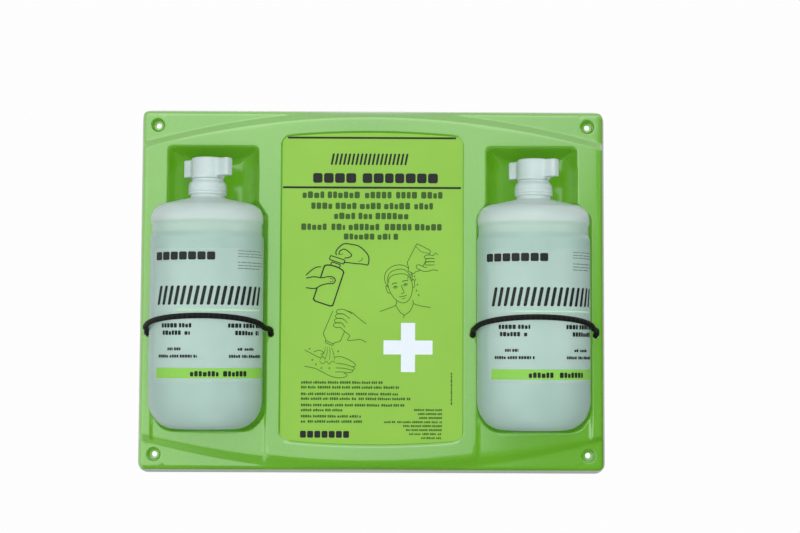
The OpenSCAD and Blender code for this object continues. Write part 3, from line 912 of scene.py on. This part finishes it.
def make_print(name, side):
    body = name + "_bottle_body"
    put = film_place(side, 0)
    s_low, s_high, z_low, z_high = -47.0, 68.0, -84.0, 34.0
    verts, faces = [], []
    count = 80
    for k in range(count + 1):
        s = s_low + (s_high - s_low) * k / count
        verts += [put(s, z_low, 0), put(s, z_low, 0.2), put(s, z_high, 0.2), put(s, z_high, 0)]
    for k in range(count):
        for i in range(4):
            j = (i + 1) % 4
            faces.append((4 * k + i, 4 * k + 4 + i, 4 * k + 4 + j, 4 * k + j))
    faces += [(0, 1, 2, 3), (4 * count + 3, 4 * count + 2, 4 * count + 1, 4 * count)]
    film = closed_mesh(name + "_print_base", verts, faces, MAT["film"])
    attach(film, body)
    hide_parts(name + "_print_film")
    shift, word, rows = (1.2, -2.4, 2.6) if side > 0 else (0.0, 0.0, 0.0)
    on = film_place(side, 0.2)
    black, greys, green, pale = Marks(on), Marks(on), Marks(on, 0.06), Marks(on, 0.06)
    dark = Marks(film_place(side, 0.26), 0.06)
    black.blocks(-45.7 + word, 11.9 + word, 23.4, 30.6, 7, 1.2, 1.3)
    for k, z in enumerate((31.2, 28.6, 26.2, 20.9, 18.2, 15.6)):
        greys.line(32.4 + shift, (60, 62, 62, 62, 62, 57)[k] - 2 * shift, z, z + 1.3, 40 + k, False)
    black.strokes(-43.6 + shift, 59.0, -16.4, 0.6)
    pale.bar(-25 + shift, 58 + shift, -21.4, -20.2, 0, 0.5)
    medium = ((-37.7, -7.7, -36.5, -32.6), (-36.5, -9.5, -43.0, -39.0), (23.9, 60.2, -36.5, -32.6),
              (30.5, 57.0, -43.0, -39.0))
    for k, (u0, u1, z0, z1) in enumerate(medium):
        black.line(u0 + rows, u1 + rows * 0.5, z0, z1, 60 + k)
    small = ((-31, -18, -56.6, -54.0), (-41, -3, -63.0, -60.3), (33, 50, -56.6, -54.0),
             (25, 60, -63.0, -60.3))
    for k, (u0, u1, z0, z1) in enumerate(small):
        black.line(u0 + shift * 1.6, u1 + shift, z0, z1, 70 + k)
    green.bar(-44 + shift, 65, -81, -72)
    dark.line(-9 + shift, 16, -79.4, -74.6, 81)
    dark.line(20, 44 + shift, -79.4, -74.6, 83)
    for marks, part, material in ((black, "black", "ink"), (greys, "grey", "ink_grey"),
                                  (green, "green", "ink_green"),
                                  (pale, "pale", "ink_pale"), (dark, "dark", "ink")):
        obj = marks.make(name + "_print_" + part, MAT[material])
        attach(obj, body)


# ---------------------------------------------------------------- closures


def upright(cx):
    return lambda r, h, t: (cx + r * math.cos(t), -AXIS_DEPTH + r * math.sin(t), h)


def make_collar(name, side):
    outline = [(16.9, 84.4), (17.4, 84.9), (17.4, 86.4), (16.75, 86.9), (17.4, 87.5), (17.4, 89.4),
               (17.15, 89.7), (17.15, 92.0),
               (16.9, 93.8), (15.9, 95.6), (14.5, 96.7), (14.2, 97.1), (14.2, 98.7), (11.5, 98.7),
               (11.5, 96.0), (15.3, 96.0),
               (15.3, 84.4)]
    verts, faces = lathe(rounded(outline, 0.45, 3), 96, upright(bottle_x(side)))
    collar = closed_mesh(name + "_collar", verts, faces, MAT["closure"])
    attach(collar, name + "_bottle_body")
    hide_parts(name + "_closure_collar")


HUB_R, WING_HALF, WING_T, WING_R = 15.0, 26.0, 5.0, 3.4
TAB_LOW, TAB_TOP = 99.0, 118.0


def tab_distance(x, y):
    """Distance outside the tab's outline in plan: a round hub and two wings."""
    qx, qy = abs(x) - (WING_HALF - WING_R), abs(y) - (WING_T - WING_R)
    wing = math.hypot(max(qx, 0), max(qy, 0)) + min(max(qx, qy), 0) - WING_R
    hub = math.hypot(x, y) - HUB_R
    k = 3.0
    h = max(k - abs(wing - hub), 0) / k
    return min(wing, hub) - h * h * k / 4


def tab_outline(count):
    """Points of the outline in plan, evenly spaced along it."""
    dense = []
    for i in range(1440):
        t = 2 * math.pi * i / 1440
        low, high = 5.0, 30.0
        for _ in range(30):
            mid = (low + high) / 2
            low, high = (mid, high) if tab_distance(mid * math.cos(t), mid * math.sin(t)) < 0 else (low,
                                                                                                    mid)
        dense.append((low * math.cos(t), low * math.sin(t)))
    d = np.array(dense + dense[:1])
    run = np.concatenate([[0], np.cumsum(np.hypot(*np.diff(d, axis=0).T))])
    at = np.linspace(0, run[-1], count, endpoint=False)
    return np.stack([np.interp(at, run, d[:, 0]), np.interp(at, run, d[:, 1])], 1)


def make_tab(name, side, turn):
    ring = tab_outline(240)
    edge = 1.6

    def top(x, y):
        near = 1 - smooth01(12.6, 17.6, math.hypot(x, y))
        high = TAB_TOP - 0.8 * (1 - near)
        inside = min(max(-tab_distance(x, y) / edge, 0), 1)
        return high - edge * (1 - math.sqrt(1 - (1 - inside) ** 2))

    def under(x, y):
        out = smooth01(14.4, 15.8, math.hypot(x, y))
        inside = min(max(-tab_distance(x, y) / 0.9, 0), 1)
        return TAB_LOW + 2.4 * out + 0.9 * (1 - math.sqrt(1 - (1 - inside) ** 2))

    rings = []
    for f in (0.01, 0.15, 0.3, 0.42, 0.52, 0.6, 0.67, 0.73, 0.78, 0.83, 0.87, 0.9, 0.93, 0.955, 0.975, 0.99,
              0.998, 1.0):
        rings.append([(x * f, y * f, top(x * f, y * f)) for x, y in ring])
    for g in (0.12, 0.3, 0.5, 0.7, 0.88):
        rings.append([(x, y, top(x, y) * (1 - g) + under(x, y) * g) for x, y in ring])
    for f in (1.0, 0.995, 0.985, 0.965, 0.94, 0.9, 0.86, 0.8, 0.7, 0.6, 0.5):
        row = []
        for x, y in ring:
            r = math.hypot(x, y)
            q = max(f * r, 13.2)
            row.append((x / r * q, y / r * q, under(x / r * q, y / r * q)))
        rings.append(row)
    bore = ((12.7, TAB_LOW + 0.1), (12.5, TAB_LOW + 0.5), (12.5, TAB_TOP - 4), (11.5, TAB_TOP - 3),
            (0.1, TAB_TOP - 3))
    for r, z in bore:
        rings.append([(x / math.hypot(x, y) * r, y / math.hypot(x, y) * r, z) for x, y in ring])
    c, s = math.cos(-math.radians(turn)), math.sin(-math.radians(turn))
    cx = bottle_x(side)
    rings = [[(cx + c * x - s * y, -AXIS_DEPTH + s * x + c * y, z) for x, y, z in row] for row in rings]
    verts, faces = loft(rings)
    tab = closed_mesh(name + "_tab", verts, faces, MAT["closure"])
    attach(tab, name + "_tab_body")
    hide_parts(name + "_twist_tab")


# ---------------------------------------------------------------- cords and stops

CORD_R, CORD_LOW, CORD_HIGH = 2.5, CORD_HOLE_Z, -26.0


def cord_points(side):
    a, b = BODY_A + CORD_R + 0.8, BODY_B + CORD_R + 0.8
    cx = bottle_x(side)
    ends = ((-15, 0), (-23, 0), (-31, 0), (-34, 1), (-37.5, 3.8))
    left, right = side * TROUGH_X - CORD_HALF, side * TROUGH_X + CORD_HALF
    path = [(left, y, CORD_LOW + up) for y, up in ends]
    for i in range(1, 16):
        t = math.pi * i / 16
        rise = (CORD_HIGH - CORD_LOW) * math.sin(t) ** 0.62
        path.append((cx - a * math.cos(t), -AXIS_DEPTH - b * math.sin(t), CORD_LOW + rise))
    return path + [(right, y, CORD_LOW + up) for y, up in reversed(ends)]


def make_cord(name, side):
    pts = curve(cord_points(side), 0.9)
    n, turns = len(pts), 16
    run, verts, faces, uvs = 0.0, [], [], []
    for i, p in enumerate(pts):
        if i:
            run += np.linalg.norm(p - pts[i - 1])
        along = pts[min(i + 1, n - 1)] - pts[max(i - 1, 0)]
        along = along / np.linalg.norm(along)
        out = np.cross(along, (0, 0, 1))
        out = out / np.linalg.norm(out)
        up = np.cross(out, along)
        for k in range(turns):
            t = 2 * math.pi * k / turns
            verts.append(tuple(p + CORD_R * (math.cos(t) * out + math.sin(t) * up)))
            uvs.append(run / 9.0)
    for i in range(n - 1):
        for k in range(turns):
            m = (k + 1) % turns
            faces.append((i * turns + k, i * turns + m, (i + 1) * turns + m, (i + 1) * turns + k))
    faces += [tuple(range(turns - 1, -1, -1)), tuple(range((n - 1) * turns, n * turns))]
    cord = closed_mesh(name + "_cord", verts, faces, MAT["cord"])
    layer = cord.data.uv_layers.new(name="braid")
    for face in cord.data.polygons:
        ks = [v % turns for v in face.vertices]
        for corner, k in zip(face.loop_indices, ks):
            if turns - 1 in ks and k == 0:
                k = turns
            layer.data[corner].uv = (k / turns, uvs[cord.data.loops[corner].vertex_index])
    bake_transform(cord)
    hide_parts(name + "_elastic_cord")


def make_stop(name, side, away, which):
    cx = side * TROUGH_X + away * CORD_HALF
    outline = [(3.1, 16.0), (3.4, 16.3), (3.4, 17.4), (2.95, 17.9), (2.95, 18.5), (3.4, 19.0), (3.4, 20.0),
               (2.95, 20.5),
               (2.95, 21.1), (3.4, 21.6), (3.4, 22.7), (3.1, 23.0), (2.55, 23.0), (2.55, 16.0)]
    place = lambda r, h, t: (cx + r * math.cos(t), -h, CORD_LOW + r * math.sin(t))
    verts, faces = lathe(rounded(outline, 0.25, 2), 40, place)
    stop = closed_mesh(name + "_stop_" + which, verts, faces, MAT["stop"])
    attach(stop, "root")
    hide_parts(name + "_cord_stop_" + which)


for side_name, side_sign in SIDES:
    make_bottle(side_name, side_sign)
    make_print(side_name, side_sign)
    make_collar(side_name, side_sign)
    make_tab(side_name, side_sign, 33 if side_sign < 0 else 41)
    make_cord(side_name, side_sign)
    make_stop(side_name, side_sign, -side_sign, "inner")
    make_stop(side_name, side_sign, side_sign, "outer")


# ---------------------------------------------------------------- sign print

SIGN_FRONT = -box_mm("sign_sheet")[0].y


def on_sign(x, z, out):
    return x, -(SIGN_FRONT + 0.02 + out), z


def tilted(points, cx, cz, angle):
    """Points given about a centre, turned and moved into place."""
    c, s = math.cos(math.radians(angle)), math.sin(math.radians(angle))
    return [(cx + c * x - s * z, cz + s * x + c * z) for x, z in points]


def turned(marks, cx, cz, angle):
    """A pen for strokes given about a centre and turned with it."""
    def pen(points, width, closed=False, under=()):
        marks.stroke(tilted(points, cx, cz, angle), width, closed, under=under)

    return pen


def draw_opening(thick, thin):
    """A bottle gripped by one hand while the other twists its tab."""
    on_bottle = turned(thick, -39.5, 3.5, -18)
    body = rounded([(-9.3, -17.5), (9.3, -17.5), (9.3, 16.5), (3.6, 18.2), (-3.6, 18.2), (-9.3, 16.5)], 3.0,
                   4)
    thumb = [(-60, 10), (-53, 11.2), (-46, 10.4), (-40, 11.4), (-35.6, 10.9), (-33.6, 8.2), (-35.2, 5.4),
             (-40, 5.0),
             (-46, 3.6), (-52, 0.6), (-60.2, 1.2)]
    on_bottle(body, 1.25, True, [thumb])
    neck = [(-4.2, 18.4), (-4.2, 21.2), (4.2, 21.2), (4.2, 18.4)]
    on_bottle(rounded(neck, 0.8, 3, False), 0.9)
    tab = rounded([(-7, 22.6), (7, 22.6), (7, 26.4), (-7, 26.4)], 1.2, 3)
    on_bottle(tab, 0.9, True)
    thick.stroke(thumb, 1.0)
    thin.stroke([(-38.6, 9.6), (-36.4, 9.5), (-35.5, 8.1), (-36.5, 6.8), (-38.6, 6.9)], 0.6)
    thick.stroke([(-60.4, 12.6), (-55, 17.4), (-51, 19.8), (-46.6, 20.4)], 0.95)
    thick.stroke([(-32.8, 31.0), (-33.0, 34.6), (-29.6, 39.0), (-25.2, 41.6), (-19.0, 41.0), (-12.8, 39.6),
                  (-7.4, 35.6),
                  (-3.4, 30.2), (-3.2, 24.4), (-4.2, 22.0)], 1.05)
    thick.stroke([(-30.4, 31.6), (-29.6, 34.6), (-26.2, 36.6), (-22.4, 35.0), (-18.8, 31.2), (-21.2, 29.0),
                  (-25.4, 28.4)], 0.95)
    thick.stroke([(-26.2, 24.6), (-21.4, 24.2), (-15.0, 23.4), (-9.0, 23.0), (-4.2, 22.0)], 0.95)
    thin.stroke([(-31.0, 32.6), (-28.6, 31.6), (-26.6, 32.6)], 0.6)
    thin.stroke([(-12.4, 25.4), (-9.6, 26.6), (-8.8, 29.0)], 0.6)


def draw_rinsing(thin):
    """A plain face tilted back under a bottle that pours over one eye."""
    w = 0.62
    on_face = turned(thin, 26.0, 3.0, 14)
    face = [(0, 15.5), (6.2, 14.2), (9.9, 9.6), (10.9, 3.0), (10.2, -4.2), (7.4, -10.6), (3.4, -14.6),
            (0, -15.5),
            (-3.4, -14.6), (-7.4, -10.6), (-10.2, -4.2), (-10.9, 3.0), (-9.9, 9.6), (-6.2, 14.2)]
    body = rounded([(-7.2, 26.0), (7.2, 26.0), (7.2, 6.0), (3.4, 2.6), (3.2, 0), (-3.2, 0), (-3.4, 2.6),
                    (-7.2, 6.0)], 1.8, 4)
    body = tilted(body, 35.4, 15.6, -27)
    on_face(face, w, True, [body])
    hair = [(-11.4, 1.6), (-12.8, 8.0), (-10.6, 14.8), (-4.6, 18.8), (2.4, 19.4), (8.6, 16.8), (12.2, 11.0),
            (12.0, 3.4)]
    on_face(hair, w, under=[body])
    on_face([(-9.8, 5.4), (-8.4, 9.6), (-3.6, 11.4), (2.4, 11.0), (7.4, 9.2), (9.8, 5.4)], w, under=[body])
    for side in (-1, 1):
        on_face([(side * 11.0, 2.6), (side * 13.0, 3.2), (side * 13.2, 0.2), (side * 12.4, -3.4),
                 (side * 10.5, -3.8)], w)
        on_face([(side * 6.9, 0.0), (side * 4.8, 1.3), (side * 2.6, 0.1)], 0.7)
        on_face([(side * 6.3, -0.3), (side * 4.8, -0.9), (side * 3.1, -0.2)], 0.45)
        on_face([(side * 4.8 + 0.35, 0.35), (side * 4.8, 0.7), (side * 4.8 - 0.35, 0.35),
                 (side * 4.8, 0.0)], 0.6, True)
        on_face([(side * 7.4, 3.2), (side * 5.0, 4.1), (side * 2.4, 3.6)], 0.8)
    on_face([(0.8, 0.8), (1.2, -3.4), (1.9, -6.0), (0.4, -6.8), (-1.2, -6.5)], w)
    on_face([(-3.5, -9.0), (-1.5, -9.6), (0, -9.5), (1.5, -9.6), (3.5, -9.0)], w)
    on_face([(-1.8, -11.3), (0, -11.7), (1.8, -11.3)], 0.5)
    thin.stroke([(22.6, -10.4), (21.4, -14.6), (15.0, -17.4), (7.2, -20.2)], w)
    thin.stroke([(37.2, -9.4), (38.4, -13.0), (45.0, -15.0), (53.6, -16.4)], w)
    thin.stroke([(21.6, -14.4), (25.4, -20.4), (29.6, -23.6)], w)
    thin.stroke([(38.0, -12.6), (34.8, -19.4), (29.6, -23.6)], w)
    thin.stroke([(29.6, -23.6), (28.6, -26.0)], w)
    fingers = []
    for x, z in ((50.6, 30.6), (51.6, 27.6), (51.4, 24.6)):
        fingers.append([(x + 5.4, z + 0.6), (x, z + 1.0), (x - 2.8, z - 0.2), (x - 2.8, z - 1.8),
                        (x, z - 2.2), (x + 5.4, z - 2.0)])
    thumb = [(50.0, 19.8), (46.4, 21.0), (42.8, 22.6), (40.6, 22.0), (40.4, 19.8), (42.8, 18.4),
             (46.4, 16.8), (51.0, 16.6)]
    thin.stroke(body, w, True, under=fingers + [thumb])
    thin.stroke(tilted([(-7.0, 23.2), (0, 21.2), (7.0, 23.2)], 35.4, 15.6, -27), 0.5, under=fingers)
    for finger in fingers:
        thin.stroke(finger, w)
    thin.stroke(thumb, w)
    thin.stroke([(60.2, 31.6), (58.0, 33.4), (56.0, 31.2)], w)
    thin.stroke([(51.0, 16.6), (55.6, 18.0), (60.2, 17.4)], w)
    for dx in (-1.6, 0.2, 1.9):
        thin.stroke([(35.2 + dx, 14.6), (34.4 + dx * 1.1, 11.0), (34.6 + dx * 1.3, 7.4)], 0.5, taper=0.6)
    for x, z in ((39.6, 9.0), (41.4, 4.4), (40.6, -1.0), (42.6, -5.2), (38.6, 12.0)):
        thin.stroke([(x, z + 0.7), (x + 0.5, z), (x, z - 0.7), (x - 0.5, z)], 0.5, True)


def draw_pouring(thin):
    """A bottle turned over above an open hand."""
    w = 0.62
    body = rounded([(-8.6, 29.0), (-8.6, 6.4), (-4.0, 3.0), (-3.8, 0), (3.8, 0), (4.0, 3.0), (8.6, 6.4),
                    (8.6, 29.0)], 2.0, 4, False)
    fingers = []
    for k in range(4):
        x, z = -32.4 - 0.9 * k, -19.6 - 4.1 * k
        fingers.append([(x + 14.5 - 1.2 * k, z - 3.0), (x + 7.5, z + 0.9), (x + 2.2, z + 1.1), (x, z - 0.9),
                        (x + 2.0, z - 2.8),
                        (x + 7.0, z - 3.0)])
    palm = [(-32.0, -18.0), (-34.0, -36.0), (-28.4, -35.0), (-24.0, -39.0), (-20.2, -42.4), (-10.0, -42.0),
            (-10.0, -20.0)]
    thin.stroke(tilted(body, -39.0, -50.0, -23), w, under=fingers + [palm])
    thin.stroke(tilted([(-3.9, 1.8), (3.9, 1.8)], -39.0, -50.0, -23), w)
    for finger in fingers:
        thin.stroke(finger, w)
    thin.stroke([(-24.0, -19.4), (-18.0, -21.4), (-12.6, -26.0), (-5.2, -31.6)], w)
    thin.stroke([(-28.4, -35.0), (-24.0, -39.0), (-20.2, -42.4), (-22.0, -46.4), (-15.0, -46.2),
                 (-10.0, -45.8), (-5.0, -48.2)], w)
    thin.stroke([(-61.0, -55.4), (-54.0, -59.0), (-47.4, -62.4), (-44.2, -61.6), (-42.4, -63.4)], w)
    thin.stroke([(-34.0, -62.0), (-28.4, -61.4), (-22.0, -63.6), (-17.0, -66.4), (-14.6, -69.0),
                 (-17.4, -70.4), (-24.0, -68.4),
                 (-32.0, -67.4)], w)
    thin.stroke([(-17.4, -70.4), (-15.4, -71.8), (-17.4, -73.6), (-24.6, -72.0), (-32.6, -71.6)], w)
    thin.stroke([(-17.4, -73.6), (-17.8, -75.4), (-22.0, -75.8), (-27.6, -75.2), (-33.0, -75.4)], w)
    thin.stroke([(-61.0, -70.2), (-52.0, -72.0), (-44.6, -75.4), (-38.0, -78.8), (-30.6, -80.6),
                 (-24.0, -79.8), (-22.2, -77.8),
                 (-25.2, -76.4)], w)
    thin.stroke([(-52.6, -57.2), (-48.0, -55.8), (-44.0, -57.4), (-46.4, -59.8)], w)
    for x0, x1, x2 in ((-42.0, -43.4, -47.0), (-40.4, -40.6, -42.6), (-38.6, -37.8, -38.4),
                       (-36.8, -34.8, -33.6)):
        thin.stroke([(x0, -52.6), (x1, -58.0), (x2, -64.6)], 0.5, taper=0.5)
    thin.stroke([(-47.4, -65.6), (-44.4, -68.0), (-41.2, -65.6), (-38.6, -68.2), (-35.6, -65.4),
                 (-33.0, -67.2)], 0.5)
    for x, z in ((-54.0, -64.4), (-50.6, -68.4), (-45.6, -71.8), (-38.4, -72.0), (-56.4, -54.4),
                 (-30.4, -56.6)):
        thin.stroke([(x, z + 0.8), (x + 0.5, z), (x, z - 0.8), (x - 0.5, z)], 0.5, True)


def make_sign_print():
    black, soft, white = Marks(on_sign), Marks(on_sign), Marks(on_sign)
    rule = [-77.8 + 154.1 * k / 24 for k in range(25)]
    black.columns([(x, 138.1, x, 139.9) for x in rule])
    black.strokes(-38.6, 32.6, 114.0, 124.6)
    u, rng = -54.5, random.Random(5)
    for letters in (4, 7):
        for _ in range(letters):
            w = 8.5 + rng.uniform(-0.7, 0.7)
            black.bar(u, u + w, 97.4, 106.4, 0, 2.0)
            u += w + 1.3
        u += 4.6
    black.bar(-82, 80.9, 92.2, 94.1)
    for k, (half, z, size) in enumerate(((64, 86.4, 6.2), (56, 76.3, 6.0), (35, 67.1, 6.0), (65, 57.0, 6.0),
                                         (26, 48.2, 5.6))):
        soft.line(-half, half, z - size / 2, z + size / 2, 20 + k)
    small = ((-84.8, 10.4), (-89.2, 25), (-95.2, 24.1), (-99.5, 35.9), (-105.3, 30.5), (-109.8, -25.7),
             (-115.4, -8.5), (-120.1, -8.4))
    for k, (z, end) in enumerate(small):
        soft.line(-64, end, z - 1.2, z + 1.2, 30 + k, True)
    black.blocks(-64.6, -20.1, -134.8, -128.6, 7, 1.1, 1.2)
    right = ((-109.4, 38.7), (-113, 42.3), (-116.6, 43.2), (-120.4, 11.5), (-123.9, 28.8), (-127.5, 31.5),
             (-131.1, 34.2), (-134.7, 45.1))
    for k, (z, start) in enumerate(right):
        soft.line(start, 64.1, z - 0.95, z + 0.95, 50 + k, True)
    z, rng = -104.8, random.Random(9)
    while z < -76:
        high = min(rng.uniform(1.6, 4.2), -75.6 - z)
        soft.bar(72.0, 73.2, z, z + high)
        z += high + 0.7
    draw_opening(black, soft)
    draw_rinsing(soft)
    draw_pouring(soft)
    arm, reach = 6.4, 22.3
    white.columns([(33 + u, -52.8 - h, 33 + u, -52.8 + h) for u, h in
                   ((-reach, arm), (-arm, arm), (-arm + 0.001, reach), (arm - 0.001, reach), (arm, arm),
                    (reach, arm))])
    for marks, part, material in ((black, "black", "ink"), (soft, "fine", "ink_soft"),
                                  (white, "cross", "ink_white")):
        obj = marks.make("sign_print_" + part, MAT[material])
        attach(obj, "root")


make_sign_print()

for cad_name, material in (("sign_sheet", "sign"), ("left_flow_nozzle", "closure"),
                           ("right_flow_nozzle", "closure")):
    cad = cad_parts[cad_name]
    cad.data.materials.clear()
    cad.data.materials.append(MAT[material])


# ---------------------------------------------------------------- stage


def area_light(name, at, aim, size, radiance, roll=0.0, colour=(1, 1, 1)):
    data = bpy.data.lights.new(name, "AREA")
    data.shape = "RECTANGLE"
    data.size, data.size_y = size
    data.energy = radiance * math.pi * size[0] * size[1]
    data.color = colour
    lamp = bpy.data.objects.new(name, data)
    bpy.context.scene.collection.objects.link(lamp)
    turn = (Vector(aim) - Vector(at)).to_track_quat("-Z", "Y").to_matrix().to_4x4()
    lamp.matrix_world = Matrix.Translation(at) @ turn @ Matrix.Rotation(roll, 4, "Z")
    return lamp


def make_stage():
    # The big soft box ends on its right side along a slanted line, so the low right
    # part of the panel shows its own colour without the box's reflection.
    edge = Vector((0.365, 0, 0.931))
    middle = Vector((0.334, -2.0, 0.006)) - Vector((0.931, 0, -0.365)) * 0.8 + edge * 0.15
    aim = middle + Vector((0, 1, 0))
    area_light("soft_box", middle, aim, (1.6, 2.2), 1.22, -math.atan2(edge.x, edge.z), (0.94, 0.97, 1.0))
    fills = (("front_fill", (0.05, -1.9, 0.0), 1.9, True), ("fill_right", (1.4, -1.4, 0.1), 3.6, False),
             ("fill_left", (-1.4, -1.4, 0.1), 3.1, False), ("fill_top", (0, -1.4, 1.3), 3.7, False),
             ("fill_low", (0, -1.4, -1.3), 3.2, False))
    for name, at, power, casts in fills:
        lamp = area_light(name, at, (0, 0, 0), (0.9, 0.9), power)
        lamp.visible_glossy = False
        lamp.data.use_shadow = casts
    corners = [(3000 * x, 3000 * y, -800) for x, y in ((-1, -1), (1, -1), (1, 1), (-1, 1))]
    floor = new_mesh("floor", corners, [(0, 1, 2, 3)], stage_paint("floor_paint", 0.86))
    floor.visible_glossy = False
    world = bpy.data.worlds.new("studio")
    bpy.context.scene.world = world
    world.use_nodes = True
    tree = Tree(world.node_tree)
    rays = tree.add("ShaderNodeLightPath").outputs
    # reflections see a bright room above and to the left, and a pale wall behind
    split = tree.add("ShaderNodeSeparateXYZ")
    tree.link(tree.add("ShaderNodeTexCoord").outputs["Generated"], split.inputs["Vector"])
    left = tree.maths("MULTIPLY", split.outputs["X"], -0.6)
    behind = tree.maths("MULTIPLY", split.outputs["Y"], 0.2)
    most = tree.maths("MAXIMUM", tree.maths("MAXIMUM", left, split.outputs["Z"]), behind)
    glossy = tree.mix(rays["Is Glossy Ray"], 0.3, tree.span(most, 0.05, 1.15, 0.08, 0.36))
    back = tree.tree.nodes["Background"]
    back.inputs["Color"].default_value = (1, 1, 1, 1)
    tree.link(tree.mix(rays["Is Camera Ray"], glossy, 0.985), back.inputs["Strength"])


make_stage()
bpy.context.scene.view_settings.view_transform = "Standard"
